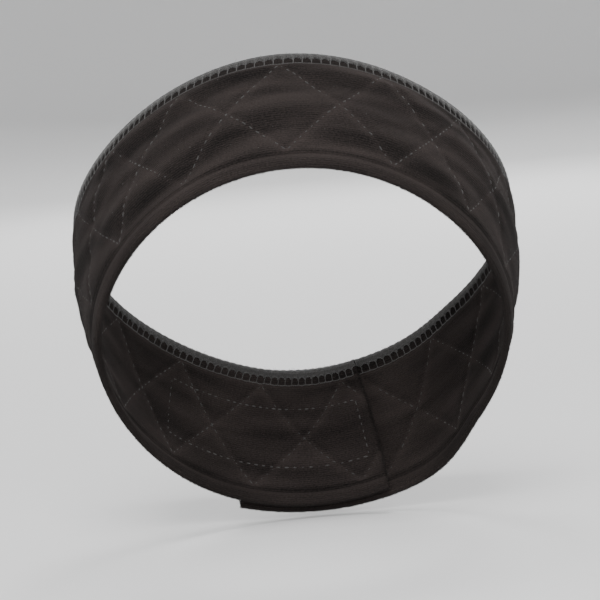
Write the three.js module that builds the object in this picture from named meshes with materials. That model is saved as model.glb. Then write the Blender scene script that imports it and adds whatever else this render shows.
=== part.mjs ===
// A velvet wig grip band in the form it has round a head, closed at the nape by hook and loop tape.
// Millimetres. -Y is the forehead, +Z the crown, and X runs through both ears.
// The origin is the middle of the head opening, level with the band over the ears.
import * as THREE from "three";

// The strip: two layers of stretch velvet, folded along the lower edge and overlocked along the upper
const STRIP_WIDTH = 51;
const STRIP_THICKNESS = 2.6;
const OVERLAP = 48; // how far one end lies over the other at the nape

// The course of the strip's middle line round the head
const HALF_WIDTH = 75.5; // from the middle of the head out to the line, over each ear
const HALF_DEPTH = 80; // from the middle of the head to the forehead, and to the nape
const TILT_RISE = 63; // how far the line lies above the ears in front, and below them behind
const ARCH = 1.5; // lifts the line over the forehead and fills it out at the temples
const FRONT_LEAN = 46; // degrees that the strip leans in to the head, going up
const SIDE_LEAN = -6;
const BACK_LEAN = -16;
const CROSS_RADIUS = 110; // how the strip bows across its width

// The fold edge: the velvet rolls over an unpressed fold, and a crease follows above the roll
const ROLL_WIDTH = 5;
const CREASE_DEPTH = 0.4;

// The quilting: two zigzag lines of stitches that cross, with the velvet puffed up between them
const QUILT_PITCH = 37; // from one crossing to the next, as stretched round the head
const QUILT_FOLD_MARGIN = 6.5; // from the fold edge to the zigzags' lower corners
const QUILT_TOP_MARGIN = 0.8; // from the overlock's needle line to their upper corners
const QUILT_DEPTH = 0.45;
const QUILT_SLOPE = 10; // from a stitch line to the full height of the puff beside it

// The overlock edging: threads wound round the upper edge, which they squeeze thin
const EDGING_WIDTH = 5.5; // from the strip's upper edge down to the needle line
const EDGING_THICKNESS = 0.45;
const SQUEEZED_THICKNESS = 1.3;

// The closure: loop tape on the outside of the inner end, hook tape on the inside of the outer end
const TAPE_WIDTH = 25;
const TAPE_THICKNESS = 1.1;
const HOOK_LENGTH = 42;
const LOOP_LENGTH = 84;
const TAPE_END_MARGIN = 3; // from the end of the strip to the tape sewn on it
const RAMP_LENGTH = 46; // along which the outer end climbs on to the inner one

const GAP = 0.3; // between touching pieces
const END_ROUND = 0.8; // the rounding of each strip end
const END_THICKNESS = 1; // what the rounding leaves at the very end

// How finely the shapes are divided
const QUILT_STEPS = 6; // along and across one crossing of the quilting
const TAPE_STEPS = 4; // across a tape
const COURSE_STEPS = 2880; // round the head, to measure the middle line

// Angles round the head start at the middle of the forehead and grow towards +X.
function leanAt(angle) {
  const mean = (FRONT_LEAN + 2 * SIDE_LEAN + BACK_LEAN) / 4;
  const foreAndAft = (FRONT_LEAN - BACK_LEAN) / 2;
  const sideways = (FRONT_LEAN - 2 * SIDE_LEAN + BACK_LEAN) / 4;
  const degrees = mean + foreAndAft * Math.cos(angle) + sideways * Math.cos(2 * angle);
  return THREE.MathUtils.degToRad(degrees);
}

function linePointAt(angle) {
  const x = HALF_WIDTH * Math.sin(angle);
  const y = -HALF_DEPTH * Math.cos(angle);
  const z = TILT_RISE * Math.cos(angle) + ARCH * Math.cos(3 * angle);
  return new THREE.Vector3(x, y, z);
}

function lineDirectionAt(angle) {
  const x = HALF_WIDTH * Math.cos(angle);
  const y = HALF_DEPTH * Math.sin(angle);
  const z = -TILT_RISE * Math.sin(angle) - 3 * ARCH * Math.sin(3 * angle);
  return new THREE.Vector3(x, y, z).normalize();
}

// The strip's directions at an angle: across it towards the upper edge, and straight out from it
function stripDirectionsAt(angle) {
  const along = lineDirectionAt(angle);
  const upright = new THREE.Vector3(0, 0, 1).addScaledVector(along, -along.z).normalize();
  const level = new THREE.Vector3().crossVectors(along, upright);
  const cosine = Math.cos(leanAt(angle));
  const sine = Math.sin(leanAt(angle));
  const across = upright.clone().multiplyScalar(cosine).addScaledVector(level, -sine);
  const out = level.clone().multiplyScalar(cosine).addScaledVector(upright, sine);
  return { across, out };
}

// The length of the middle line from the forehead to each of many equal steps of angle
function measureCourse() {
  const lengths = [0];
  let from = linePointAt(0);
  for (let i = 1; i <= COURSE_STEPS; i++) {
    const to = linePointAt((i / COURSE_STEPS) * 2 * Math.PI);
    lengths.push(lengths[i - 1] + to.distanceTo(from));
    from = to;
  }
  return lengths;
}

const COURSE_LENGTHS = measureCourse();
const LOOP = COURSE_LENGTHS[COURSE_STEPS];
const STRIP_LENGTH = LOOP + OVERLAP;

// The angle round the head at a length along the strip, which is zero at the middle of the forehead
function angleAt(along) {
  const rounds = Math.floor(along / LOOP);
  const rest = along - rounds * LOOP;
  let low = 0;
  let high = COURSE_STEPS;
  while (high - low > 1) {
    const middle = (low + high) >> 1;
    if (COURSE_LENGTHS[middle] > rest) high = middle;
    else low = middle;
  }
  const share = (rest - COURSE_LENGTHS[low]) / (COURSE_LENGTHS[high] - COURSE_LENGTHS[low]);
  return (rounds + (low + share) / COURSE_STEPS) * 2 * Math.PI;
}

// How far the strip stands off the head, which it does where its outer end climbs on to the inner one
const STATION_STEP = QUILT_PITCH / QUILT_STEPS;
function liftAt(along) {
  const stack = STRIP_THICKNESS + 2 * TAPE_THICKNESS + 3 * GAP;
  const rampEnd = STRIP_LENGTH / 2 - OVERLAP - STATION_STEP;
  return stack * THREE.MathUtils.smoothstep(along, rampEnd - RAMP_LENGTH, rampEnd);
}

// Where a place on the flat strip lies when worn. It is given by its length along the strip, its
// height across from the middle line, and its distance out from the middle of the thickness.
function wornPlace(along, across, out) {
  const angle = angleAt(along);
  const directions = stripDirectionsAt(angle);
  const bow = across / CROSS_RADIUS;
  const radius = CROSS_RADIUS + out + liftAt(along);
  return linePointAt(angle)
    .addScaledVector(directions.across, radius * Math.sin(bow))
    .addScaledVector(directions.out, radius * Math.cos(bow) - CROSS_RADIUS);
}

// Heights across the flat strip
const FOLD_EDGE = -STRIP_WIDTH / 2;
const TOP_EDGE = STRIP_WIDTH / 2;
const CREASE_LINE = FOLD_EDGE + ROLL_WIDTH;
const NEEDLE_LINE = TOP_EDGE - EDGING_WIDTH;
const QUILT_LOW = FOLD_EDGE + QUILT_FOLD_MARGIN;
const QUILT_HIGH = NEEDLE_LINE - QUILT_TOP_MARGIN;

// The edging turns round the strip's squeezed edge, both about this height
const EDGING_HALF = SQUEEZED_THICKNESS / 2 + GAP + EDGING_THICKNESS;
const TURN_CENTRE = TOP_EDGE - EDGING_HALF;

// Stations along a piece: its two ends, and between them the quilting's own even steps
function stationsBetween(start, end) {
  const first = Math.ceil(start / STATION_STEP + 0.5);
  const last = Math.floor(end / STATION_STEP - 0.5);
  const stations = [start];
  for (let i = first; i <= last; i++) stations.push(i * STATION_STEP);
  stations.push(end);
  return stations;
}

// The height of a quilted face: lowest on the stitch lines, rounding up to the puffs between them
function quiltedHalf(along, across) {
  const phase = along / QUILT_PITCH;
  const share = (across - QUILT_LOW) / (QUILT_HIGH - QUILT_LOW);
  const fromRising = Math.abs(phase - share - Math.round(phase - share));
  const fromFalling = Math.abs(phase + share - Math.round(phase + share));
  const away = Math.min(fromRising, fromFalling) * QUILT_PITCH;
  const relief = Math.sin((Math.min(away / QUILT_SLOPE, 1) * Math.PI) / 2);
  return STRIP_THICKNESS / 2 - QUILT_DEPTH * (1 - relief);
}

// Rows over the roll of the fold: share of the roll's width, and share of half the strip's thickness
const ROLL_ROWS = [
  { width: 0, half: 0.2 },
  { width: 0.07, half: 0.55 },
  { width: 0.24, half: 0.88 },
  { width: 0.55, half: 1 },
];

// Rows across the strip from the fold to the upper edge, each with half the thickness there
function stripRows(along) {
  const halfThickness = STRIP_THICKNESS / 2;
  const rows = ROLL_ROWS.map(({ width, half }) => ({
    across: FOLD_EDGE + width * ROLL_WIDTH,
    half: half * halfThickness,
  }));
  rows.push({ across: CREASE_LINE, half: halfThickness - CREASE_DEPTH });
  for (let i = 0; i <= QUILT_STEPS; i++) {
    const across = THREE.MathUtils.lerp(QUILT_LOW, QUILT_HIGH, i / QUILT_STEPS);
    rows.push({ across, half: quiltedHalf(along, across) });
  }
  const squeezed = SQUEEZED_THICKNESS / 2;
  rows.push({ across: NEEDLE_LINE - GAP, half: squeezed });
  for (const turn of [0, 45, 80].map(THREE.MathUtils.degToRad)) {
    rows.push({ across: TURN_CENTRE + squeezed * Math.sin(turn), half: squeezed * Math.cos(turn) });
  }
  return rows;
}

// Turns rows into a section: its outer and its inner face, each from the lower edge to the upper
function sectionAt(along, outer, inner) {
  const place = ({ across, out }) => ({ point: wornPlace(along, across, out), depth: Math.abs(out) });
  return { outer: outer.map(place), inner: inner.map(place) };
}

// A closed solid through sections with equally many points. Each face between two sections is split
// along its deeper diagonal, which keeps a stitch line sharp.
function loft(sections) {
  const rings = sections.map(({ outer, inner }) => [...outer, ...inner.toReversed()]);
  const count = rings[0].length;
  const index = [];
  for (let i = 0; i + 1 < rings.length; i++) {
    for (let k = 0; k < count; k++) {
      const next = (k + 1) % count;
      const [a, b] = [i * count + k, i * count + next];
      const [c, d] = [a + count, b + count];
      const depthAD = rings[i][k].depth + rings[i + 1][next].depth;
      const depthBC = rings[i][next].depth + rings[i + 1][k].depth;
      if (depthAD < depthBC) index.push(a, d, b, a, c, d);
      else index.push(a, c, b, b, c, d);
    }
  }
  const last = (rings.length - 1) * count;
  for (let k = 0; k + 1 < count / 2; k++) {
    const [a, b, c, d] = [k, k + 1, count - 1 - k, count - 2 - k];
    index.push(a, b, c, b, d, c);
    index.push(last + a, last + c, last + b, last + b, last + c, last + d);
  }
  const positions = rings.flat().flatMap(({ point }) => point.toArray());
  const geometry = new THREE.BufferGeometry();
  geometry.setAttribute("position", new THREE.Float32BufferAttribute(positions, 3));
  geometry.setIndex(index);
  geometry.computeVertexNormals();
  return geometry;
}

function velvetBand() {
  const end = STRIP_LENGTH / 2;
  const stations = stationsBetween(-end + END_ROUND, end - END_ROUND);
  const sections = [-end, ...stations, end].map((along) => {
    const share = Math.abs(along) === end ? END_THICKNESS / STRIP_THICKNESS : 1;
    const rows = stripRows(along);
    const outer = rows.map(({ across, half }) => ({ across, out: half * share }));
    const inner = rows.map(({ across, half }) => ({ across, out: -half * share }));
    return sectionAt(along, outer, inner);
  });
  return loft(sections);
}

// One face of the edging, at a distance from the middle of the thickness: up, round and down again
function edgingFace(half) {
  const turns = [0, 45, 90, 135, 180].map(THREE.MathUtils.degToRad);
  const turned = turns.map((turn) => ({
    across: TURN_CENTRE + half * Math.sin(turn),
    out: half * Math.cos(turn),
  }));
  return [{ across: NEEDLE_LINE, out: half }, ...turned, { across: NEEDLE_LINE, out: -half }];
}

function overlockEdging() {
  const end = STRIP_LENGTH / 2;
  const outer = edgingFace(EDGING_HALF);
  const inner = edgingFace(EDGING_HALF - EDGING_THICKNESS);
  return loft(stationsBetween(-end, end).map((along) => sectionAt(along, outer, inner)));
}

// A tape sewn flat on the strip, whose face nearer the head lies at the height given
function tape(start, length, height) {
  const rows = [];
  for (let i = 0; i <= TAPE_STEPS; i++) rows.push((i / TAPE_STEPS - 0.5) * TAPE_WIDTH);
  const outer = rows.map((across) => ({ across, out: height + TAPE_THICKNESS }));
  const inner = rows.map((across) => ({ across, out: height }));
  return loft(stationsBetween(start, start + length).map((along) => sectionAt(along, outer, inner)));
}

function loopTape() {
  return tape(-STRIP_LENGTH / 2 + TAPE_END_MARGIN, LOOP_LENGTH, STRIP_THICKNESS / 2 + GAP);
}

function hookTape() {
  const start = STRIP_LENGTH / 2 - TAPE_END_MARGIN - HOOK_LENGTH;
  return tape(start, HOOK_LENGTH, -STRIP_THICKNESS / 2 - GAP - TAPE_THICKNESS);
}

const velvet = new THREE.MeshStandardMaterial({ color: 0x1c1a1a, roughness: 0.95, metalness: 0 });
const thread = new THREE.MeshStandardMaterial({ color: 0x2c2c2d, roughness: 0.85, metalness: 0 });
const loopPile = new THREE.MeshStandardMaterial({ color: 0x1f1f20, roughness: 0.95, metalness: 0 });
const hookPlastic = new THREE.MeshStandardMaterial({ color: 0x18181a, roughness: 0.6, metalness: 0 });

const gripBand = new THREE.Group();
function addPiece(name, geometry, material) {
  const piece = new THREE.Mesh(geometry, material);
  piece.name = name;
  gripBand.add(piece);
}

addPiece("velvet_band", velvetBand(), velvet);
addPiece("overlock_edging", overlockEdging(), thread);
addPiece("loop_tape", loopTape(), loopPile);
addPiece("hook_tape", hookTape(), hookPlastic);

export default gripBand;
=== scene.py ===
"""The looks of a velvet wig grip band, in the form it has round a head. Metres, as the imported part."""
import math

import bpy
import numpy as np
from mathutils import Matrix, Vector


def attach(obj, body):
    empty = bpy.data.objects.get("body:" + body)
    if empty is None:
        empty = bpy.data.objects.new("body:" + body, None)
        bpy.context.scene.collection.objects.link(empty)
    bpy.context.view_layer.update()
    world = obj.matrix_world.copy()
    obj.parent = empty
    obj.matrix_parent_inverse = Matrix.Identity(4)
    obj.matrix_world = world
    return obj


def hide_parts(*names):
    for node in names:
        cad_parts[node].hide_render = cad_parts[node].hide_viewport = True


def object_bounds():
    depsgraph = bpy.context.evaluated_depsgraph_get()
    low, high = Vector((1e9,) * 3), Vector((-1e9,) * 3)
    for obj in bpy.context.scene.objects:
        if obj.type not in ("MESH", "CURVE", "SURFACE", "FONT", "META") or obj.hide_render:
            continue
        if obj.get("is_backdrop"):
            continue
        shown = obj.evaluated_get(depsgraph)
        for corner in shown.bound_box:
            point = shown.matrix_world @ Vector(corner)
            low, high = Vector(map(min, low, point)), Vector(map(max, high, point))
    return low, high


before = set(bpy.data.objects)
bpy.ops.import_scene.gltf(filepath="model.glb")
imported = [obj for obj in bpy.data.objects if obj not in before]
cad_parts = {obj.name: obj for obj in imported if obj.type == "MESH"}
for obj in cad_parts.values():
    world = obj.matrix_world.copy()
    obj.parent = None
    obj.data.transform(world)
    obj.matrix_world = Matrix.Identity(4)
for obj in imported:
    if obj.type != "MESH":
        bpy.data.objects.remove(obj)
cad_low, cad_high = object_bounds()
bpy.ops.object.select_all(action="DESELECT")
chance = np.random.default_rng(7)

# Folded velvet
# One strip of black stretch velvet, folded lengthwise with its pile outside. The fold is the lower
# edge, rolled and never pressed. Its open edges meet at the top, squeezed by the overlock. It is a
# grid folded and wrapped round the head, with soft lengthwise ripples and ribs in the pile.
STRIP_WIDTH = 0.051
STRIP_FLAT_LENGTH = 0.559
STRIP_THICKNESS = 0.0026
SQUEEZED_THICKNESS = 0.0013
OVERLAP = 0.048
RAMP_LENGTH = 0.046
GAP = 0.0003
TAPE_THICKNESS = 0.0011

HALF_WIDTH = 0.0755
HALF_DEPTH = 0.080
TILT_RISE = 0.063
ARCH = 0.0015
FRONT_LEAN = math.radians(46)
SIDE_LEAN = math.radians(-6)
BACK_LEAN = math.radians(-16)
CROSS_RADIUS = 0.110

ROLL_WIDTH = 0.005
CREASE_DEPTH = 0.00065
CREASE_SPREAD = 0.0010
SQUEEZE_START = 0.0013
SQUEEZE_END = 0.0001
EDGING_WIDTH = 0.0055
EDGING_THICKNESS = 0.00045
QUILT_PITCH = 0.037
QUILT_FOLD_MARGIN = 0.0065
QUILT_TOP_MARGIN = 0.0008
QUILT_BLEND = 0.001
GROOVE_DEPTH = 0.00034
GROOVE_SPREAD = 0.0017
PUFF_DEPTH = 0.00014
PUFF_REACH = QUILT_PITCH / 3
RAMP_MARGIN = QUILT_PITCH / 6
COURSE_STEPS = 2880


def smooth_rise(value, start, end):
    share = np.clip((value - start) / (end - start), 0, 1)
    return share * share * (3 - 2 * share)


def unit(vectors):
    return vectors / np.linalg.norm(vectors, axis=-1, keepdims=True)


def course(angle):
    """The strip's middle line at an angle round the head, with the directions across and out."""
    sine, cosine = np.sin(angle), np.cos(angle)
    height = TILT_RISE * cosine + ARCH * np.cos(3 * angle)
    climb = -TILT_RISE * sine - 3 * ARCH * np.sin(3 * angle)
    point = np.stack([HALF_WIDTH * sine, -HALF_DEPTH * cosine, height], axis=1)
    along = unit(np.stack([HALF_WIDTH * cosine, HALF_DEPTH * sine, climb], axis=1))
    upright = unit(np.array([0.0, 0.0, 1.0]) - along * along[:, 2:])
    level = np.cross(along, upright)
    mean = (FRONT_LEAN + 2 * SIDE_LEAN + BACK_LEAN) / 4
    fore_and_aft = (FRONT_LEAN - BACK_LEAN) / 2 * cosine
    sideways = (FRONT_LEAN - 2 * SIDE_LEAN + BACK_LEAN) / 4 * np.cos(2 * angle)
    lean = (mean + fore_and_aft + sideways)[:, None]
    across = upright * np.cos(lean) - level * np.sin(lean)
    out = level * np.cos(lean) + upright * np.sin(lean)
    return point, across, out


COURSE_ANGLES = np.linspace(0, 2 * np.pi, COURSE_STEPS + 1)
course_steps = np.linalg.norm(np.diff(course(COURSE_ANGLES)[0], axis=0), axis=1)
COURSE_LENGTHS = np.concatenate([[0], np.cumsum(course_steps)])
LOOP = COURSE_LENGTHS[-1]
STRIP_LENGTH = LOOP + OVERLAP
STRETCH = STRIP_LENGTH / STRIP_FLAT_LENGTH
HALF_LENGTH = STRIP_LENGTH / 2
FOLD_EDGE = -STRIP_WIDTH / 2
TOP_EDGE = STRIP_WIDTH / 2
NEEDLE_LINE = TOP_EDGE - EDGING_WIDTH
QUILT_LOW = FOLD_EDGE + QUILT_FOLD_MARGIN
QUILT_HIGH = NEEDLE_LINE - QUILT_TOP_MARGIN
EDGING_HALF = SQUEEZED_THICKNESS / 2 + GAP + EDGING_THICKNESS
TURN_CENTRE = TOP_EDGE - EDGING_HALF
FOLD_RADIUS = STRIP_THICKNESS / 2
TOP_RADIUS = SQUEEZED_THICKNESS / 2

RIPPLES = (
    {"width": 0.0085, "height": 0.00020, "drift": 0.115, "start": 0.10},
    {"width": 0.0130, "height": 0.00042, "drift": 0.170, "start": 0.55},
    {"width": 0.0240, "height": 0.00060, "drift": 0.290, "start": 0.80},
)
RIPPLE_WANDER = 0.5
RIPPLE_SWELL = 0.45
SWELL_DRIFTS = 1.7
EDGE_RIPPLE = 0.15


def lift(along):
    """How far the outer end stands off the head, over the inner end and both tapes."""
    stack = STRIP_THICKNESS + 2 * TAPE_THICKNESS + 3 * GAP
    ramp_end = HALF_LENGTH - OVERLAP - RAMP_MARGIN
    return stack * smooth_rise(along, ramp_end - RAMP_LENGTH, ramp_end)


def ripple(along, across):
    """The long soft waves of the strip between its edges. They die out where the tapes hold it flat."""
    height = np.zeros_like(along)
    for wave in RIPPLES:
        wander = RIPPLE_WANDER * np.sin(2 * np.pi * (along / wave["drift"] + wave["start"]))
        swell = np.sin(2 * np.pi * (along / wave["drift"] / SWELL_DRIFTS - wave["start"]))
        strength = 1 - RIPPLE_SWELL + RIPPLE_SWELL * swell
        phase = 2 * np.pi * (across / wave["width"] + wander + wave["start"])
        height += wave["height"] * strength * np.sin(phase)
    flat_ends = HALF_LENGTH - 2 * OVERLAP
    calm = 1 - smooth_rise(np.abs(along), flat_ends - OVERLAP / 2, flat_ends)
    inside = smooth_rise(across, FOLD_EDGE, FOLD_EDGE + 2 * ROLL_WIDTH)
    inside *= 1 - smooth_rise(across, NEEDLE_LINE - ROLL_WIDTH, NEEDLE_LINE)
    return height * calm * (EDGE_RIPPLE + (1 - EDGE_RIPPLE) * inside)


def worn(flat):
    """Where places on the flat strip, as along, across and out, come to lie round the head."""
    along, across, out = flat.reshape(-1, 3).T
    angle = np.interp(along - np.floor(along / LOOP) * LOOP, COURSE_LENGTHS, COURSE_ANGLES)
    point, across_way, out_way = course(angle)
    radius = CROSS_RADIUS + out + lift(along) + ripple(along, across)
    bow = across / CROSS_RADIUS
    aside = (radius * np.sin(bow))[:, None]
    rise = (radius * np.cos(bow) - CROSS_RADIUS)[:, None]
    return (point + across_way * aside + out_way * rise).reshape(flat.shape)


def read_points(piece):
    points = np.zeros(len(piece.data.vertices) * 3)
    piece.data.vertices.foreach_get("co", points)
    return points.reshape(-1, 3)


def write_points(piece, points):
    piece.data.vertices.foreach_set("co", np.asarray(points, dtype=float).ravel())
    piece.data.update()


def keep_cloth_map(piece, along, across):
    """Stores each point's place on the cloth, in metres, as the UV map that the weave follows."""
    corners = np.zeros(len(piece.data.loops), dtype=int)
    piece.data.loops.foreach_get("vertex_index", corners)
    layer = piece.data.uv_layers.new(name="cloth")
    layer.data.foreach_set("uv", np.stack([along[corners], across[corners]], axis=1).ravel())


def from_stitch_line(along, across):
    """The distance to the nearer of the two zigzag lines of quilting."""
    phase = along / QUILT_PITCH
    share = (across - QUILT_LOW) / (QUILT_HIGH - QUILT_LOW)
    rising = np.abs(phase - share - np.round(phase - share))
    falling = np.abs(phase + share - np.round(phase + share))
    slope = math.atan2(QUILT_HIGH - QUILT_LOW, QUILT_PITCH)
    return np.minimum(rising, falling) * QUILT_PITCH * math.sin(slope)


def face_height(along, across):
    """Half the strip's thickness: grooved along the stitches, creased, and squeezed at the top."""
    away = from_stitch_line(along, across)
    quilted = smooth_rise(across, QUILT_LOW - QUILT_BLEND, QUILT_LOW + QUILT_BLEND)
    groove = GROOVE_DEPTH * np.exp(-((away / GROOVE_SPREAD) ** 2))
    puff = PUFF_DEPTH * (1 - smooth_rise(away, 0, PUFF_REACH))
    from_crease = (across - FOLD_EDGE - ROLL_WIDTH) / CREASE_SPREAD
    crease = CREASE_DEPTH * np.exp(-(from_crease**2))
    height = STRIP_THICKNESS / 2 - (groove + puff) * quilted - crease
    squeeze = smooth_rise(across, NEEDLE_LINE - SQUEEZE_START, NEEDLE_LINE + SQUEEZE_END)
    return height + (SQUEEZED_THICKNESS / 2 - height) * squeeze


STATIONS = 720
ROWS = 66
CROWDING = 0.55
END_ROUND = 0.0013
WELD_DISTANCE = 1e-6
SLOPE_STEP = 0.0004
STEEP_SLOPE = 0.22
SEAM_SPREAD = 0.0011
SEAM_RUFFLE_HIGHLIGHT = 0.30
PRESSED_SHADE = 0.6
PRESS_BLEND = 0.0004
fold_arc = FOLD_RADIUS * math.pi / 2
flat_run = TURN_CENTRE - FOLD_EDGE - FOLD_RADIUS
top_arc = TOP_RADIUS * math.pi / 2

bpy.ops.mesh.primitive_grid_add(x_subdivisions=STATIONS, y_subdivisions=2 * ROWS, size=1)
velvet = bpy.context.object
velvet.name = "folded_velvet"
cut = read_points(velvet)
along = cut[:, 0] * STRIP_LENGTH
side = np.sign(np.round(cut[:, 1], 6))
share = np.abs(cut[:, 1]) * 2
crowded = share - CROWDING * np.sin(2 * np.pi * share) / (2 * np.pi)
travel = (fold_arc + flat_run + top_arc) * crowded
turn = np.clip(travel / FOLD_RADIUS, 0, math.pi / 2)
top_turn = np.clip((travel - fold_arc - flat_run) / TOP_RADIUS, 0, math.pi / 2)
across = FOLD_EDGE + FOLD_RADIUS * (1 - np.cos(turn))
across += np.clip(travel - fold_arc, 0, flat_run) + TOP_RADIUS * np.sin(top_turn)
half = face_height(along, across) * np.sin(turn) * np.cos(top_turn)
from_end = np.clip((HALF_LENGTH - np.abs(along)) / END_ROUND, 0, 1)
half *= np.sqrt(1 - (1 - from_end) ** 2)
keep_cloth_map(velvet, along, travel * side)
wave_slope = (ripple(along, across + SLOPE_STEP) - ripple(along, across - SLOPE_STEP)) / (2 * SLOPE_STEP)
face_rise = face_height(along, across + SLOPE_STEP) - face_height(along, across - SLOPE_STEP)
face_slope = face_rise / (2 * SLOPE_STEP) * (across > FOLD_EDGE + FOLD_RADIUS)
# Painted highlight: a lighter line along the quilting seams, where the ruffled pile catches light.
seam_highlight_mask = np.exp(-((from_stitch_line(along, across) / SEAM_SPREAD) ** 2))
seam_highlight_mask *= smooth_rise(across, QUILT_LOW - QUILT_BLEND, QUILT_LOW)
seam_highlight_mask *= 1 - smooth_rise(across, QUILT_HIGH, NEEDLE_LINE)
# Painted shade: the pile is darker at the needle line, in the cells between the overlock threads.
pressed_shade_mask = smooth_rise(across, NEEDLE_LINE - PRESS_BLEND, NEEDLE_LINE + PRESS_BLEND)
# Painted light: the pile is lighter where the ripples and grooves slope to face up, towards the lights
# above.
painted_light_facing_up = 0.5 - 0.5 * np.tanh((wave_slope * side + face_slope) / STEEP_SLOPE)
# Painted light and shade, kept as an attribute for the base colour: lighter where ripples and grooves
# face up towards the lights, a painted highlight along the seams, painted shade at the needle line.
painted_shading = velvet.data.attributes.new("painted_shading", "FLOAT", "POINT")
painted_shading.data.foreach_set("value", painted_light_facing_up + SEAM_RUFFLE_HIGHLIGHT * seam_highlight_mask - PRESSED_SHADE * pressed_shade_mask)
write_points(velvet, np.stack([along, across, half * side], axis=1))

bpy.ops.object.mode_set(mode="EDIT")
bpy.ops.mesh.select_all(action="SELECT")
bpy.ops.mesh.remove_doubles(threshold=WELD_DISTANCE)
bpy.ops.mesh.normals_make_consistent(inside=False)
bpy.ops.object.mode_set(mode="OBJECT")
bpy.ops.object.shade_smooth()
write_points(velvet, worn(read_points(velvet)))

VELVET_BLACK = (0.0044, 0.0037, 0.0035, 1)
VELVET_CRUSHED = (0.0385, 0.0306, 0.0285, 1)
RIB_PITCH = 0.00078
CRUSH_SCALE = (22, 130)
GRAIN_SCALE = (1300, 2000)
PAINTED_SHADING_WEIGHT = 0.22
CRUSH_WEIGHT = 0.57
GRAIN_WEIGHT = 0.60
RIB_WEIGHT = 0.045
RIB_WANDER = 2.5
VELVET_SHEEN = (0.62, 0.55, 0.53, 1)


def new_material(name):
    material = bpy.data.materials.new(name)
    material.use_nodes = True
    nodes = material.node_tree.nodes
    return material, nodes, material.node_tree.links, nodes["Principled BSDF"]


def cloth_coordinates(nodes, links, scale):
    """The piece's own place on the cloth, in metres, times a scale along and around."""
    place = nodes.new("ShaderNodeUVMap")
    place.uv_map = "cloth"
    mapping = nodes.new("ShaderNodeMapping")
    mapping.inputs["Scale"].default_value = (*scale, 1)
    links.new(place.outputs["UV"], mapping.inputs["Vector"])
    return mapping.outputs["Vector"]


def noise(nodes, links, vector, scale, detail=2.0, roughness=0.5):
    texture = nodes.new("ShaderNodeTexNoise")
    texture.inputs["Scale"].default_value = scale
    texture.inputs["Detail"].default_value = detail
    texture.inputs["Roughness"].default_value = roughness
    links.new(vector, texture.inputs["Vector"])
    return texture.outputs["Fac"]


def arithmetic(nodes, links, operation, first, second=None):
    node = nodes.new("ShaderNodeMath")
    node.operation = operation
    for socket, value in zip(node.inputs, (first, second)):
        if value is None:
            continue
        if isinstance(value, (int, float)):
            socket.default_value = value
        else:
            links.new(value, socket)
    return node.outputs[0]


def colour_ramp(nodes, links, factor, *stops):
    ramp = nodes.new("ShaderNodeValToRGB")
    while len(ramp.color_ramp.elements) < len(stops):
        ramp.color_ramp.elements.new(0.5)
    for element, (position, colour) in zip(ramp.color_ramp.elements, stops):
        element.position = position
        element.color = colour
    links.new(factor, ramp.inputs["Fac"])
    return ramp.outputs["Color"]


def bump(nodes, links, height, distance, strength=1.0, below=None):
    node = nodes.new("ShaderNodeBump")
    node.inputs["Distance"].default_value = distance
    node.inputs["Strength"].default_value = strength
    links.new(height, node.inputs["Height"])
    if below is not None:
        links.new(below, node.inputs["Normal"])
    return node.outputs["Normal"]


pile, nodes, links, shader = new_material("velvet_pile")
metres = cloth_coordinates(nodes, links, (1, 1))
lengthwise = cloth_coordinates(nodes, links, CRUSH_SCALE)
crushed = noise(nodes, links, lengthwise, scale=1.0, detail=3, roughness=0.45)
grain = cloth_coordinates(nodes, links, GRAIN_SCALE)
fibres = noise(nodes, links, grain, scale=1.0, detail=2, roughness=0.65)
# This attribute's painted light and shade lighten and darken the velvet's base colour.
painted_shading_node = nodes.new("ShaderNodeAttribute")
painted_shading_node.attribute_name = "painted_shading"
separate = nodes.new("ShaderNodeSeparateXYZ")
links.new(metres, separate.inputs["Vector"])
rib_turns = arithmetic(nodes, links, "MULTIPLY", separate.outputs["Y"], 2 * math.pi / RIB_PITCH)
rib_drift = noise(nodes, links, metres, scale=160)
rib_wander = arithmetic(nodes, links, "MULTIPLY", rib_drift, RIB_WANDER)
ribs = arithmetic(nodes, links, "SINE", arithmetic(nodes, links, "ADD", rib_turns, rib_wander))
waves = arithmetic(nodes, links, "MULTIPLY", painted_shading_node.outputs["Fac"], PAINTED_SHADING_WEIGHT)
drifts = arithmetic(nodes, links, "MULTIPLY", crushed, CRUSH_WEIGHT)
speckle = arithmetic(nodes, links, "MULTIPLY", fibres, GRAIN_WEIGHT)
lines = arithmetic(nodes, links, "MULTIPLY", ribs, RIB_WEIGHT)
broad = arithmetic(nodes, links, "ADD", waves, drifts)
fine = arithmetic(nodes, links, "ADD", speckle, lines)
mottle = arithmetic(nodes, links, "ADD", broad, fine)
colour = colour_ramp(nodes, links, mottle, (0.47, VELVET_BLACK), (1.0, VELVET_CRUSHED))
links.new(colour, shader.inputs["Base Color"])
soft = bump(nodes, links, crushed, distance=0.0009, strength=0.5)
ribbed = bump(nodes, links, ribs, distance=0.00007, strength=0.6, below=soft)
furry = bump(nodes, links, fibres, distance=0.0004, strength=0.6, below=ribbed)
links.new(furry, shader.inputs["Normal"])
shader.inputs["Roughness"].default_value = 0.95
shader.inputs["Specular IOR Level"].default_value = 0.1
shader.inputs["Sheen Weight"].default_value = 0.015
shader.inputs["Sheen Roughness"].default_value = 0.5
shader.inputs["Sheen Tint"].default_value = VELVET_SHEEN
velvet.data.materials.append(pile)

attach(velvet, "root")
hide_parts("velvet_band")

# Fold-edge pile
# Along the fold the pile stands straight out, so the lower edge is furry, in fine scallops where the
# ribs of the cloth turn round it. The two cut ends are covered by it too. Each tuft is a thin cone.
FOLD_TUFTS = 30000
END_TUFTS = 4400
SCALLOP = 0.00062
SCALLOP_DEPTH = 0.55
TUFT_LENGTH = 0.00055
TUFT_RADIUS = 0.000055
TUFT_SPREAD = math.radians(42)
TUFT_DISORDER = 0.28
FOLD_TUFT_SIZES = (0.6, 1.25)
END_TUFT_SIZES = (0.4, 1.0)


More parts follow.
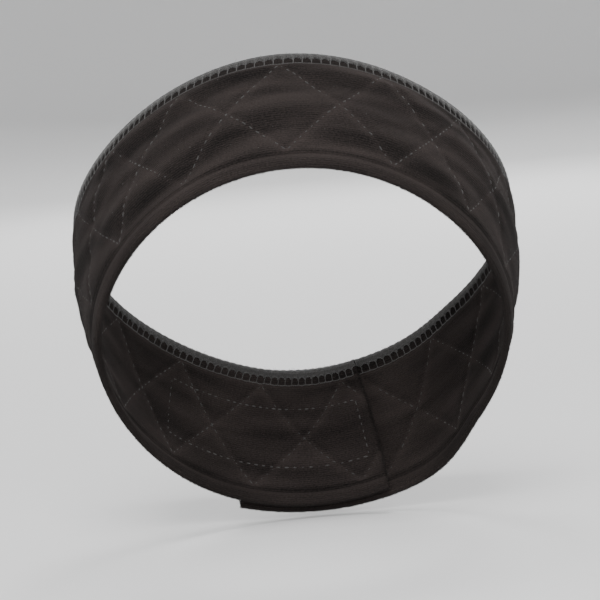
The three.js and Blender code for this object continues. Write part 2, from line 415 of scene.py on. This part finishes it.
def joined(name, shapes, faces):
    """One object of many equal small shapes: shapes holds the points of each, and faces one's faces."""
    count, each = shapes.shape[:2]
    starts = np.arange(count) * each
    corners = np.concatenate([np.array(face) for face in faces])
    corners = (corners[None, :] + starts[:, None]).ravel()
    face_sizes = np.tile([len(face) for face in faces], count)
    face_starts = np.concatenate([[0], np.cumsum(face_sizes)[:-1]])
    mesh = bpy.data.meshes.new(name)
    mesh.vertices.add(count * each)
    mesh.vertices.foreach_set("co", shapes.ravel())
    mesh.loops.add(len(corners))
    mesh.loops.foreach_set("vertex_index", corners)
    mesh.polygons.add(len(face_starts))
    mesh.polygons.foreach_set("loop_start", face_starts)
    mesh.polygons.foreach_set("use_smooth", np.ones(len(face_starts), dtype=bool))
    mesh.update(calc_edges=True)
    piece = bpy.data.objects.new(name, mesh)
    bpy.context.collection.objects.link(piece)
    return piece


def tufts(name, roots, ways, lengths, radius):
    """Thin three-sided cones of pile that stand on their roots, with the length and way of each."""
    beside = unit(np.cross(ways, chance.normal(size=ways.shape)))
    behind = np.cross(ways, beside)
    angles = 2 * np.pi * np.arange(3) / 3
    ring = np.cos(angles)[None, :, None] * beside[:, None]
    ring += np.sin(angles)[None, :, None] * behind[:, None]
    base = roots[:, None] + radius * ring
    tips = (roots + ways * lengths[:, None])[:, None]
    shapes = worn(np.concatenate([base, tips], axis=1))
    return joined(name, shapes, [(0, 1, 3), (1, 2, 3), (2, 0, 3), (2, 1, 0)])


along = chance.uniform(-HALF_LENGTH, HALF_LENGTH, FOLD_TUFTS)
turn = chance.normal(0, TUFT_SPREAD, FOLD_TUFTS)
turn = np.clip(turn, -math.pi / 2, math.pi / 2)
across = FOLD_EDGE + FOLD_RADIUS * (1 - np.cos(turn))
out = face_height(along, across) * np.sin(turn)
scallop = np.abs(np.cos(np.pi * along / SCALLOP))
scalloped = TUFT_LENGTH * (1 - SCALLOP_DEPTH + SCALLOP_DEPTH * scallop)
lengths = scalloped * chance.uniform(*FOLD_TUFT_SIZES, FOLD_TUFTS)
ways = np.stack([np.zeros(FOLD_TUFTS), -np.cos(turn), np.sin(turn)], axis=1)
ways = unit(ways + chance.normal(0, TUFT_DISORDER, ways.shape))
roots = np.stack([along, across, out], axis=1)

end = np.where(chance.uniform(size=END_TUFTS) < 0.5, -1.0, 1.0)
turn = chance.uniform(-math.pi / 2, math.pi / 2, END_TUFTS)
across = chance.uniform(FOLD_EDGE + FOLD_RADIUS, NEEDLE_LINE, END_TUFTS)
along = end * (HALF_LENGTH - END_ROUND * (1 - np.cos(turn)))
out = face_height(along, across) * np.sin(turn)
end_ways = np.stack([end * np.cos(turn), np.zeros(END_TUFTS), np.sin(turn)], axis=1)
end_ways = unit(end_ways + chance.normal(0, TUFT_DISORDER, end_ways.shape))
end_lengths = TUFT_LENGTH * chance.uniform(*END_TUFT_SIZES, END_TUFTS)
roots = np.concatenate([roots, np.stack([along, across, out], axis=1)])
ways = np.concatenate([ways, end_ways])
lengths = np.concatenate([lengths, end_lengths])
fold_pile = tufts("fold_pile", roots, ways, lengths, TUFT_RADIUS)

TUFT_BLACK = (0.019, 0.0158, 0.0149, 1)


def plain_material(name, colour, roughness, specular=0.5, sheen=0.0):
    """A material of one colour."""
    material, _, _, shader = new_material(name)
    shader.inputs["Base Color"].default_value = colour
    shader.inputs["Roughness"].default_value = roughness
    shader.inputs["Specular IOR Level"].default_value = specular
    shader.inputs["Sheen Weight"].default_value = sheen
    return material


tuft_cloth = plain_material("pile_tufts", TUFT_BLACK, roughness=0.9, specular=0.1, sheen=0.02)
fold_pile.data.materials.append(tuft_cloth)
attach(fold_pile, "root")

# Pile of the faces
# The pile of both faces lies mostly towards the fold, in drifts that are brushed one way or the other.
# Single fibres that stand up out of it are cones too, many on the outer face and fewer inside.
FACE_TUFTS = 36000
INSIDE_SHARE = 0.2
LYING_LENGTH = 0.00075
LYING_RADIUS = 0.00004
LYING_SIZES = (0.5, 1.2)
LYING_DISORDER = 0.25
LYING_DRIFTS = ((0.085, 0.021), (0.19, -0.033))
DRIFT_ASIDE = 0.35
TOWARDS_FOLD = 0.9
DRIFT_BACK = 0.5
STANDING = 0.42

along = chance.uniform(-HALF_LENGTH + END_ROUND, HALF_LENGTH - END_ROUND, FACE_TUFTS)
across = chance.uniform(FOLD_EDGE + FOLD_RADIUS, NEEDLE_LINE, FACE_TUFTS)
side = np.where(chance.uniform(size=FACE_TUFTS) < INSIDE_SHARE, -1.0, 1.0)
out = (face_height(along, across) - LYING_RADIUS) * side
drift = sum(np.sin(2 * np.pi * (along / length + across / width)) for length, width in LYING_DRIFTS)
ways = np.stack([DRIFT_ASIDE * drift, DRIFT_BACK * drift - TOWARDS_FOLD, STANDING * side], axis=1)
ways = unit(ways + chance.normal(0, LYING_DISORDER, ways.shape))
lengths = LYING_LENGTH * chance.uniform(*LYING_SIZES, FACE_TUFTS)
face_pile = tufts("face_pile", np.stack([along, across, out], axis=1), ways, lengths, LYING_RADIUS)
face_pile.data.materials.append(tuft_cloth)
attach(face_pile, "root")

# Quilting stitches
# Two zigzag lines of grey lockstitch go through both layers and cross at the middle of each pitch, so
# they show on both faces. One stitch is modelled, sunk at its ends, and laid along the lines.
STITCH_LENGTH = 0.0021
STITCH_WIDTH = 0.0005
STITCH_PITCH = 0.0028
STITCH_SINK = 0.00022
STITCH_PROUD = 0.00006
STITCH_SIZES = (0.75, 1.12)
STITCH_SUNK = (0.10, 0.50)
STITCH_SKEW = 0.06
QUILTING_DARK = (0.017, 0.0164, 0.0160, 1)
QUILTING_LIGHT = (0.044, 0.0426, 0.0415, 1)

bpy.ops.mesh.primitive_uv_sphere_add(segments=6, ring_count=6, radius=0.5)
bpy.ops.object.mode_set(mode="EDIT")
bpy.ops.mesh.select_all(action="SELECT")
bpy.ops.transform.rotate(value=math.pi / 2, orient_axis="Y", center_override=(0, 0, 0))
bpy.ops.transform.resize(value=(STITCH_LENGTH, STITCH_WIDTH, STITCH_WIDTH), center_override=(0, 0, 0))
bpy.ops.object.mode_set(mode="OBJECT")
stitch = bpy.context.object
stitch_points = read_points(stitch)
stitch_points[:, 2] -= STITCH_SINK * (2 * stitch_points[:, 0] / STITCH_LENGTH) ** 2
stitch_faces = [tuple(face.vertices) for face in stitch.data.polygons]
bpy.data.objects.remove(stitch)


def stitch_line(start, end, pitch):
    """The middle of each stitch on a straight line of sewing, with the line's heading."""
    start, end = np.array(start), np.array(end)
    run = end - start
    count = max(1, round(np.linalg.norm(run) / pitch))
    places = start + run * ((np.arange(count) + 0.5) / count)[:, None]
    return np.column_stack([places, np.full(count, math.atan2(run[1], run[0]))])


def lay_stitches(rows, height, side):
    """The points of a stitch at each row's place and heading, on the outer (1) or inner (-1) face."""
    count = len(rows)
    heading = rows[:, 2] + chance.normal(0, STITCH_SKEW, count)
    size = chance.uniform(*STITCH_SIZES, count)
    sunk = height - STITCH_WIDTH * chance.uniform(*STITCH_SUNK, count)
    local = stitch_points[None] * size[:, None, None]
    aside = local[..., 1] * side
    ahead = local[..., 0]
    along = rows[:, 0, None] + ahead * np.cos(heading)[:, None] - aside * np.sin(heading)[:, None]
    across = rows[:, 1, None] + ahead * np.sin(heading)[:, None] + aside * np.cos(heading)[:, None]
    out = (sunk[:, None] + local[..., 2]) * side
    return worn(np.stack([along, across, out], axis=2))


legs = []
last_leg = math.ceil(HALF_LENGTH / QUILT_PITCH)
for leg in range(-last_leg, last_leg):
    low, high = leg * QUILT_PITCH, (leg + 1) * QUILT_PITCH
    legs.append(stitch_line((low, QUILT_LOW), (high, QUILT_HIGH), STITCH_PITCH))
    legs.append(stitch_line((low, QUILT_HIGH), (high, QUILT_LOW), STITCH_PITCH))
quilting = np.concatenate(legs)
quilting = quilting[np.abs(quilting[:, 0]) < HALF_LENGTH - STITCH_PITCH]
on_face = face_height(quilting[:, 0], quilting[:, 1]) + STITCH_PROUD
outside = lay_stitches(quilting, on_face, 1)
inside = lay_stitches(quilting, on_face, -1)
quilting_stitches = joined("quilting_stitches", np.concatenate([outside, inside]), stitch_faces)


def thread_material(name, dark, light):
    """Matt twisted thread, mottled between two tones."""
    material, nodes, links, shader = new_material(name)
    place = nodes.new("ShaderNodeTexCoord").outputs["Object"]
    twist = noise(nodes, links, place, scale=3500, detail=2)
    links.new(colour_ramp(nodes, links, twist, (0.3, dark), (0.7, light)), shader.inputs["Base Color"])
    shader.inputs["Roughness"].default_value = 0.8
    shader.inputs["Specular IOR Level"].default_value = 0.25
    shader.inputs["Sheen Weight"].default_value = 0.2
    return material


quilting_thread = thread_material("quilting_thread", QUILTING_DARK, QUILTING_LIGHT)
quilting_stitches.data.materials.append(quilting_thread)
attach(quilting_stitches, "root")

# Overlock needle thread and rungs
# The needle thread runs along the inner side of the overlock. From each of its stitches a looper
# thread goes out to the edge, on both faces, so the velvet shows between them in dark cells. A chain
# of the same thread lies along the edge. Each is a thin round thread, bent stitch by stitch.
OVERLOCK_PITCH = 0.0030 * STRETCH
THREAD_RADIUS = 0.00016
THREAD_RINGS = 6
STITCH_SCATTER = 0.00009
NEEDLE_BOW = 0.00020
NEEDLE_REST = 0.2
NEEDLE_RISE = 0.9
RUNG_LENGTH = 0.0027
RUNG_LEAN = 0.00035
RUNG_REST = 0.7
RUNG_RISE = 2.8
EDGE_CHAIN = 0.36
CHAIN_BOW = 0.05
CHAIN_SCATTER = 0.03
CHAIN_RISE = 0.5
CORE_HEIGHT = 0.00108
NEEDLE_DARK = (0.024, 0.0232, 0.0226, 1)
NEEDLE_LIGHT = (0.064, 0.062, 0.0605, 1)


def round_edge(share, height, straight=0.0):
    """Places round the squeezed top edge, at a height from the strip's middle. Share 0 is the outermost
    line, and a half is where the turn ends and the straight part begins, which ends at 1. Shares below 0
    are on the outer face."""
    turned = np.clip(np.abs(share) * 2, 0, 1) * math.pi / 2
    run = np.clip(np.abs(share) * 2 - 1, 0, 1) * straight
    return TURN_CENTRE + height * np.cos(turned) - run, -height * np.sin(turned) * np.sign(share)


def flat_paths(along, across, out):
    """Paths by their places on the flat strip, one row of places for each path."""
    return np.stack(np.broadcast_arrays(along, across, out), axis=2)


def threads(name, paths, radii, beside, sides):
    """Thin round threads along paths of flat places, closed to a point at either end."""
    count, rings = paths.shape[:2]
    ahead = unit(np.gradient(paths, axis=1))
    first_way = unit(np.cross(ahead, beside))
    second_way = np.cross(ahead, first_way)
    angles = (2 * np.pi * np.arange(sides) / sides)[:, None]
    ring = np.cos(angles) * first_way[:, :, None] + np.sin(angles) * second_way[:, :, None]
    radii = np.broadcast_to(radii, (count, rings))
    walls = (paths[:, :, None] + ring * radii[:, :, None, None]).reshape(count, rings * sides, 3)
    start = paths[:, :1] - ahead[:, :1] * radii[:, :1, None]
    end = paths[:, -1:] + ahead[:, -1:] * radii[:, -1:, None]
    faces = []
    last = (rings - 1) * sides
    for side in range(sides):
        following = (side + 1) % sides
        faces.append((rings * sides, following, side))
        for ring_start in range(0, last, sides):
            there = ring_start + sides
            faces.append((ring_start + side, ring_start + following, there + following, there + side))
        faces.append((last + side, last + following, rings * sides + 1))
    return joined(name, worn(np.concatenate([walls, start, end], axis=1)), faces)


stitch_count = int((STRIP_LENGTH - 2 * END_ROUND) / OVERLOCK_PITCH)
first_stitch = -stitch_count * OVERLOCK_PITCH / 2
stitch_starts = first_stitch + np.arange(stitch_count) * OVERLOCK_PITCH
step = np.linspace(0, 1, THREAD_RINGS)
thread_paths = []
rung_starts = first_stitch + np.arange(stitch_count + 1) * OVERLOCK_PITCH
for side in (1, -1):
    shift = chance.normal(0, STITCH_SCATTER, (stitch_count, 1))
    swell = np.sin(np.pi * step)[None]
    along = stitch_starts[:, None] + OVERLOCK_PITCH * step[None]
    across = NEEDLE_LINE + shift - NEEDLE_BOW * swell
    out = (TOP_RADIUS + THREAD_RADIUS * (NEEDLE_REST + NEEDLE_RISE * swell)) * side
    thread_paths.append(flat_paths(along, across, out))
    chain = EDGE_CHAIN + CHAIN_BOW * swell + CHAIN_SCATTER * shift / THREAD_RADIUS
    across, out = round_edge(-side * chain, CORE_HEIGHT + THREAD_RADIUS * (1 + CHAIN_RISE * swell))
    thread_paths.append(flat_paths(along, across, out))
    bend = RUNG_LEAN * step[None] ** 2 * side
    along = rung_starts[:, None] + np.append(shift, shift[-1:], axis=0) + bend
    across = NEEDLE_LINE + RUNG_LENGTH * step[None]
    out = (TOP_RADIUS + THREAD_RADIUS * (RUNG_REST + RUNG_RISE * step[None] ** 3)) * side
    thread_paths.append(flat_paths(along, across, out))
paths = np.concatenate(thread_paths)
overlock_rungs = threads("overlock_rungs", paths, THREAD_RADIUS, beside=(0.3, 0.3, 1.0), sides=5)
grey_thread = thread_material("grey_thread", NEEDLE_DARK, NEEDLE_LIGHT)
overlock_rungs.data.materials.append(grey_thread)
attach(overlock_rungs, "root")
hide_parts("overlock_edging")

# Overlock looper threads
# At the edge the textured looper threads fluff out and cover the velvet. A soft padded core carries
# them, and crimped filaments wind over it from face to face. Their inner ends leave rounded cells.
CORE_WALL = 0.0003
CORE_COLUMNS = 6
CORE_ROWS = 12
CORE_TAPER = 0.00055
FLUFF_STRAIGHT = 0.0013
CELL_ROUND = 0.0011
FILAMENTS = 10
FILAMENT_RINGS = 11
FILAMENT_RADIUS = 0.00013
FILAMENT_CRIMP = 0.00026
FILAMENT_CRIMPS = (1.2, 2.6)
FILAMENT_REST = 0.8
FILAMENT_RISE = 0.7
FILAMENT_TAPER = 0.0004
FILAMENT_SCATTER = 0.00010
REACH_SCATTER = 0.00014
DRAWN_IN = 0.00016
FLUFF_DARK = (0.019, 0.0184, 0.0180, 1)
FLUFF_LIGHT = (0.055, 0.0534, 0.0522, 1)


def fluff_straight(along):
    """How far the looper threads reach in past the turn: furthest at each rung, least between two."""
    phase = (along - first_stitch) / OVERLOCK_PITCH
    from_middle = 2 * np.abs(phase - np.floor(phase) - 0.5)
    return FLUFF_STRAIGHT + CELL_ROUND * from_middle**3


def pulled_in(along):
    """How much flatter the looper threads are where each stitch draws them in."""
    phase = (along - first_stitch) / OVERLOCK_PITCH
    return DRAWN_IN * (0.5 + 0.5 * np.cos(2 * np.pi * phase)) ** 2


bpy.ops.mesh.primitive_grid_add(
    x_subdivisions=stitch_count * CORE_COLUMNS, y_subdivisions=CORE_ROWS, size=1
)
core = bpy.context.object
core.name = "overlock_core"
cut = read_points(core)
along = cut[:, 0] * STRIP_LENGTH
share = -2 * cut[:, 1]
height = CORE_HEIGHT - pulled_in(along) - CORE_TAPER * np.abs(share) ** 6
across, out = round_edge(share, height, fluff_straight(along) - CORE_WALL)
write_points(core, np.stack([along, across, out], axis=1))
bpy.ops.object.modifier_add(type="SOLIDIFY")
core.modifiers["Solidify"].thickness = CORE_WALL
core.modifiers["Solidify"].offset = -1
bpy.ops.object.modifier_apply(modifier="Solidify")
bpy.ops.object.mode_set(mode="EDIT")
bpy.ops.mesh.select_all(action="SELECT")
bpy.ops.mesh.normals_make_consistent(inside=False)
bpy.ops.object.mode_set(mode="OBJECT")
bpy.ops.object.shade_smooth()
write_points(core, worn(read_points(core)))

fluff, nodes, links, shader = new_material("looper_fluff")
place = nodes.new("ShaderNodeTexCoord").outputs["Object"]
wool = noise(nodes, links, place, scale=2400, detail=3, roughness=0.7)
fluff_tone = colour_ramp(nodes, links, wool, (0.32, FLUFF_DARK), (0.72, FLUFF_LIGHT))
links.new(fluff_tone, shader.inputs["Base Color"])
woolly = bump(nodes, links, wool, distance=0.0005, strength=0.8)
links.new(woolly, shader.inputs["Normal"])
shader.inputs["Roughness"].default_value = 0.9
shader.inputs["Specular IOR Level"].default_value = 0.15
shader.inputs["Sheen Weight"].default_value = 0.25
core.data.materials.append(fluff)
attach(core, "root")
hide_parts("overlock_edging")

filament_count = stitch_count * FILAMENTS
place_in_stitch = (np.arange(filament_count) + 0.5) / FILAMENTS
along = first_stitch + place_in_stitch * OVERLOCK_PITCH
along += chance.normal(0, FILAMENT_SCATTER, filament_count)
step = np.linspace(-1, 1, FILAMENT_RINGS)[None]
crimps = chance.uniform(*FILAMENT_CRIMPS, (filament_count, 1))
starts = chance.uniform(0, 2 * np.pi, (filament_count, 1))
wave = np.sin(np.pi * crimps * step + starts)
rise = FILAMENT_REST + FILAMENT_RISE * np.cos(np.pi * crimps * step + 2 * starts)
height = CORE_HEIGHT + FILAMENT_RADIUS * rise
height -= pulled_in(along)[:, None]
height -= FILAMENT_TAPER * np.abs(step) ** 6
straight = fluff_straight(along)[:, None] + chance.normal(0, REACH_SCATTER, (filament_count, 1))
across, out = round_edge(step, height, straight)
paths = flat_paths(along[:, None] + FILAMENT_CRIMP * wave, across, out)
filaments = threads("looper_filaments", paths, FILAMENT_RADIUS, beside=(1.0, 0.0, 0.0), sides=4)
filaments.data.materials.append(grey_thread)
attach(filaments, "root")
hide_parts("overlock_edging")

# Stray fibres
# The textured thread sheds short curled fibres, so the upper edge is soft against the background.
# Each is one thin bent thread that starts on the looper threads and stands out from the edge.
STRAYS = 1100
STRAY_LENGTH = 0.0008
STRAY_RADIUS = 0.000028
STRAY_RINGS = 4
STRAY_SIZES = (0.35, 1.2)
STRAY_SPREAD = 0.25
STRAY_LEAN = 0.0006
STRAY_CURL = 0.0004
STRAY_BOW = 0.0003

along = chance.uniform(-HALF_LENGTH, HALF_LENGTH, (STRAYS, 1))
step = np.linspace(0, 1, STRAY_RINGS)[None]
share = np.clip(chance.normal(0, STRAY_SPREAD, (STRAYS, 1)), -0.5, 0.5)
length = STRAY_LENGTH * chance.uniform(*STRAY_SIZES, (STRAYS, 1))
across, out = round_edge(share, CORE_HEIGHT + length * step)
along = along + chance.normal(0, STRAY_LEAN, (STRAYS, 1)) * step
along += chance.normal(0, STRAY_CURL, (STRAYS, 1)) * step**2
across = across + chance.normal(0, STRAY_BOW, (STRAYS, 1)) * step**2
paths = flat_paths(along, across, out)
strays = threads("stray_fibres", paths, STRAY_RADIUS, beside=(1.0, 0.2, 0.1), sides=3)
strays.data.materials.append(grey_thread)
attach(strays, "root")

# Lint
# Velvet picks up dust: a few short curled pale fibres lie on the pile of the outer face, as the strip
# in the photograph has them. Each is one short bent thread, thinner than the sewing thread.
LINT_FIBRES = 70
LINT_LENGTH = 0.0005
LINT_RADIUS = 0.000045
LINT_RINGS = 5
LINT_SIZES = (0.4, 1.4)
LINT_BEND = 0.5
LINT_LIFT = 0.00022
LINT_GREY = (0.085, 0.084, 0.08, 1)

along = chance.uniform(-HALF_LENGTH + OVERLAP, HALF_LENGTH - OVERLAP, (LINT_FIBRES, 1))
across = chance.uniform(QUILT_LOW, QUILT_HIGH, (LINT_FIBRES, 1))
step = np.linspace(-0.5, 0.5, LINT_RINGS)[None]
length = LINT_LENGTH * chance.uniform(*LINT_SIZES, (LINT_FIBRES, 1))
heading = chance.uniform(0, np.pi, (LINT_FIBRES, 1))
curve = length * chance.uniform(-LINT_BEND, LINT_BEND, (LINT_FIBRES, 1)) * (4 * step**2 - 1) / 2
ahead = along + length * step * np.cos(heading) - curve * np.sin(heading)
aside = across + length * step * np.sin(heading) + curve * np.cos(heading)
out = face_height(ahead, aside) + LINT_LIFT
lint = threads("lint", flat_paths(ahead, aside, out), LINT_RADIUS, beside=(0.0, 0.0, 1.0), sides=3)
lint.data.materials.append(plain_material("pale_lint", LINT_GREY, roughness=0.9))
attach(lint, "root")

# Loop tape
# The soft half of the closure, a woven tape with brushed loops, sewn flat on the outer face of the
# strip's inner end. Half of it shows past the outer end. A thin slab is bent on, then loops and sewing.
TAPE_WIDTH = 0.025
LOOP_LENGTH = 0.084
TAPE_END_MARGIN = 0.003
TAPE_FOOT = STRIP_THICKNESS / 2 + GAP
TAPE_SEAM_MARGIN = 0.0015
TAPE_STEP = 0.001
TAPE_ROWS = 12
WEAVE_DARK = (0.010, 0.010, 0.0102, 1)
WEAVE_LIGHT = (0.024, 0.024, 0.0245, 1)
LOOP_BASE = 0.0006
LOOP_SPACING = 0.0008
LOOP_HEIGHT = 0.00048
LOOP_RADIUS = 0.00005
LOOP_RINGS = 5
LOOP_WIDTHS = (0.00022, 0.00042)
LOOP_RISES = (0.6, 1.0)
LOOP_SCATTER = 0.0002
NYLON_BLACK = (0.022, 0.022, 0.0225, 1)


def tape_base(name, start, length, foot, thickness):
    """A flat woven tape on the strip, with its long edges a little rounded, from foot outwards."""
    steps = round(length / TAPE_STEP)
    bpy.ops.mesh.primitive_grid_add(x_subdivisions=steps, y_subdivisions=TAPE_ROWS, size=1)
    tape = bpy.context.object
    tape.name = name
    points = read_points(tape)
    along = start + (points[:, 0] + 0.5) * length
    across = points[:, 1] * TAPE_WIDTH
    write_points(tape, np.stack([along, across, np.full(len(along), foot)], axis=1))
    bpy.ops.object.modifier_add(type="SOLIDIFY")
    tape.modifiers["Solidify"].thickness = thickness
    tape.modifiers["Solidify"].offset = 1
    bpy.ops.object.modifier_apply(modifier="Solidify")
    bpy.ops.object.modifier_add(type="BEVEL")
    tape.modifiers["Bevel"].width = thickness / 4
    tape.modifiers["Bevel"].segments = 2
    bpy.ops.object.modifier_apply(modifier="Bevel")
    flat = read_points(tape)
    keep_cloth_map(tape, flat[:, 0], flat[:, 1])
    write_points(tape, worn(flat))
    bpy.ops.object.shade_smooth_by_angle(angle=math.radians(40))
    return tape


def tape_sewing(name, start, length, tape_face, side):
    """Sewing round a tape, just inside its edges, on the tape's own face and through to the other."""
    left, right = start + TAPE_SEAM_MARGIN, start + length - TAPE_SEAM_MARGIN
    low, high = TAPE_SEAM_MARGIN - TAPE_WIDTH / 2, TAPE_WIDTH / 2 - TAPE_SEAM_MARGIN
    corners = ((left, low), (right, low), (right, high), (left, high), (left, low))
    rows = np.concatenate([stitch_line(*ends, STITCH_PITCH) for ends in zip(corners, corners[1:])])
    through = face_height(rows[:, 0], rows[:, 1]) + STITCH_PROUD
    near = lay_stitches(rows, np.full(len(rows), tape_face), side)
    far = lay_stitches(rows, through, -side)
    return joined(name, np.concatenate([near, far]), stitch_faces)


def places_on_tape(start, length, margin, spacing):
    """Places in straight rows on a tape, inside a margin, as columns of along and across."""
    columns = round((length - 2 * margin) / spacing)
    rows = round((TAPE_WIDTH - 2 * margin) / spacing)
    column, row = np.meshgrid(np.arange(columns), np.arange(rows))
    along = start + margin + (column.ravel()[:, None] + 0.5) * spacing
    across = margin - TAPE_WIDTH / 2 + (row.ravel()[:, None] + 0.5) * spacing
    return along, across


loop_start = -HALF_LENGTH + TAPE_END_MARGIN
loop_tape = tape_base("loop_tape_base", loop_start, LOOP_LENGTH, TAPE_FOOT, LOOP_BASE)
woven, nodes, links, shader = new_material("woven_tape")
metres = cloth_coordinates(nodes, links, (1, 1))
weave = noise(nodes, links, metres, scale=1800, detail=2)
weave_tone = colour_ramp(nodes, links, weave, (0.3, WEAVE_DARK), (0.75, WEAVE_LIGHT))
links.new(weave_tone, shader.inputs["Base Color"])
uneven = bump(nodes, links, weave, distance=0.0002, strength=0.7)
links.new(uneven, shader.inputs["Normal"])
shader.inputs["Roughness"].default_value = 0.75
shader.inputs["Specular IOR Level"].default_value = 0.25
loop_tape.data.materials.append(woven)
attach(loop_tape, "root")
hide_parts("loop_tape")

grid_along, grid_across = places_on_tape(loop_start, LOOP_LENGTH, TAPE_SEAM_MARGIN, LOOP_SPACING)
count = len(grid_along)
arc = np.linspace(0, np.pi, LOOP_RINGS)[None]
heading = chance.uniform(0, np.pi, (count, 1))
width = chance.uniform(*LOOP_WIDTHS, (count, 1))
jitter = chance.normal(0, LOOP_SCATTER, (2, count, 1))
rise = LOOP_HEIGHT * chance.uniform(*LOOP_RISES, (count, 1)) * np.sin(arc)
along = grid_along + jitter[0] + width * np.cos(arc) * np.cos(heading)
across = grid_across + jitter[1] + width * np.cos(arc) * np.sin(heading)
paths = flat_paths(along, across, TAPE_FOOT + LOOP_BASE - LOOP_RADIUS + rise)
brushed_loops = threads("brushed_loops", paths, LOOP_RADIUS, beside=(0.1, 0.1, 0.05), sides=3)
nylon = plain_material("black_nylon", NYLON_BLACK, roughness=0.6, specular=0.3)
brushed_loops.data.materials.append(nylon)
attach(brushed_loops, "root")
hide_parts("loop_tape")

tape_face = TAPE_FOOT + LOOP_BASE + STITCH_PROUD
loop_sewing = tape_sewing("loop_tape_sewing", loop_start, LOOP_LENGTH, tape_face, 1)
loop_sewing.data.materials.append(grey_thread)
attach(loop_sewing, "root")

# Hook tape
# The stiff half of the closure, a woven tape with rows of small nylon hooks, sewn on the inner face of
# the outer end. It lies hidden on the loop tape, so it is plain. One hook is repeated in rows.
HOOK_LENGTH = 0.042
HOOK_BASE = 0.0005
HOOK_SPACING = 0.0015
HOOK_HEIGHT = 0.0006
HOOK_RADIUS = 0.00009
HOOK_RINGS = 7
HOOK_CROOK = HOOK_HEIGHT / 3
HOOK_TURN = 1.35 * math.pi
HOOK_MARGIN = 1.5 * TAPE_SEAM_MARGIN

hook_start = HALF_LENGTH - TAPE_END_MARGIN - HOOK_LENGTH
hook_tape = tape_base("hook_tape_base", hook_start, HOOK_LENGTH, -TAPE_FOOT - HOOK_BASE, HOOK_BASE)
hook_tape.data.materials.append(woven)
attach(hook_tape, "root")
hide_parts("hook_tape")

grid_along, grid_across = places_on_tape(hook_start, HOOK_LENGTH, HOOK_MARGIN, HOOK_SPACING)
bend = np.linspace(0, HOOK_TURN, HOOK_RINGS)[None]
rise = HOOK_HEIGHT - HOOK_CROOK + HOOK_CROOK * np.sin(bend)
rise[0, 0] = 0.0
along = grid_along - HOOK_CROOK * np.cos(bend)
paths = flat_paths(along, grid_across, -TAPE_FOOT - HOOK_BASE - rise)
hooks = threads("nylon_hooks", paths, HOOK_RADIUS, beside=(0.0, 1.0, 0.0), sides=4)
hooks.data.materials.append(nylon)
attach(hooks, "root")
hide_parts("hook_tape")

tape_face = TAPE_FOOT + HOOK_BASE + STITCH_PROUD
hook_sewing = tape_sewing("hook_tape_sewing", hook_start, HOOK_LENGTH, tape_face, -1)
hook_sewing.data.materials.append(grey_thread)
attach(hook_sewing, "root")

# Stage
# A plain pale floor that curves up all round into a plain pale backdrop. Four large soft lights
# stand before, above and behind the band, and the camera looks down on its front a little.
STAGE_REACH = 4.5
STAGE_CELLS = 64
WALL_START = 2.2
WALL_END = 5.85
STAGE_DROP = 0.0015
STAGE_GREY = (0.80, 0.80, 0.80, 1)
DAYLIGHT = (0.97, 0.98, 1.0, 1)
DAYLIGHT_STRENGTH = 0.22

bpy.ops.mesh.primitive_grid_add(
    x_subdivisions=STAGE_CELLS, y_subdivisions=STAGE_CELLS, size=2 * STAGE_REACH
)
backdrop = bpy.context.object
backdrop.name = "backdrop"
points = read_points(backdrop)
from_middle = np.hypot(points[:, 0], points[:, 1])
points[:, 2] = cad_low.z - STAGE_DROP + STAGE_REACH * smooth_rise(from_middle, WALL_START, WALL_END)
write_points(backdrop, points)
bpy.ops.object.shade_smooth()
backdrop.data.materials.append(plain_material("backdrop_paint", STAGE_GREY, roughness=0.9))
backdrop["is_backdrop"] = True

world = bpy.data.worlds.new("soft_daylight")
bpy.context.scene.world = world
world.use_nodes = True
sky = world.node_tree.nodes["Background"]
sky.inputs["Color"].default_value = DAYLIGHT
sky.inputs["Strength"].default_value = DAYLIGHT_STRENGTH

SOFT_LIGHTS = (
    {"name": "key", "place": (-0.1, -1.9, 1.4), "size": 0.8, "watts": 54},
    {"name": "fill", "place": (0.2, -1.9, 0.5), "size": 0.8, "watts": 20},
    {"name": "top", "place": (0.1, 0.6, 1.9), "size": 1.0, "watts": 22},
    {"name": "back", "place": (0.2, 2.0, 0.9), "size": 1.2, "watts": 26},
)
for light in SOFT_LIGHTS:
    bpy.ops.object.light_add(type="AREA", location=light["place"])
    lamp = bpy.context.object
    lamp.name = light["name"]
    lamp.data.size = light["size"]
    lamp.data.energy = light["watts"]
    lamp.rotation_euler = (-lamp.location).to_track_quat("-Z", "Y").to_euler()

CAMERA_DISTANCE = 1.3
CAMERA_ELEVATION = math.radians(5)
CAMERA_ROLL = math.radians(5.2)
CAMERA_LENS = 225
AIM_HEIGHT = -0.006
bpy.ops.object.camera_add()
camera = bpy.context.object
camera.data.lens = CAMERA_LENS
camera.location.y = -CAMERA_DISTANCE * math.cos(CAMERA_ELEVATION)
camera.location.z = AIM_HEIGHT + CAMERA_DISTANCE * math.sin(CAMERA_ELEVATION)
camera.rotation_euler = (math.pi / 2 - CAMERA_ELEVATION, 0, 0)
camera.rotation_euler.rotate_axis("Z", -CAMERA_ROLL)
bpy.context.scene.camera = camera

low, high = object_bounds()
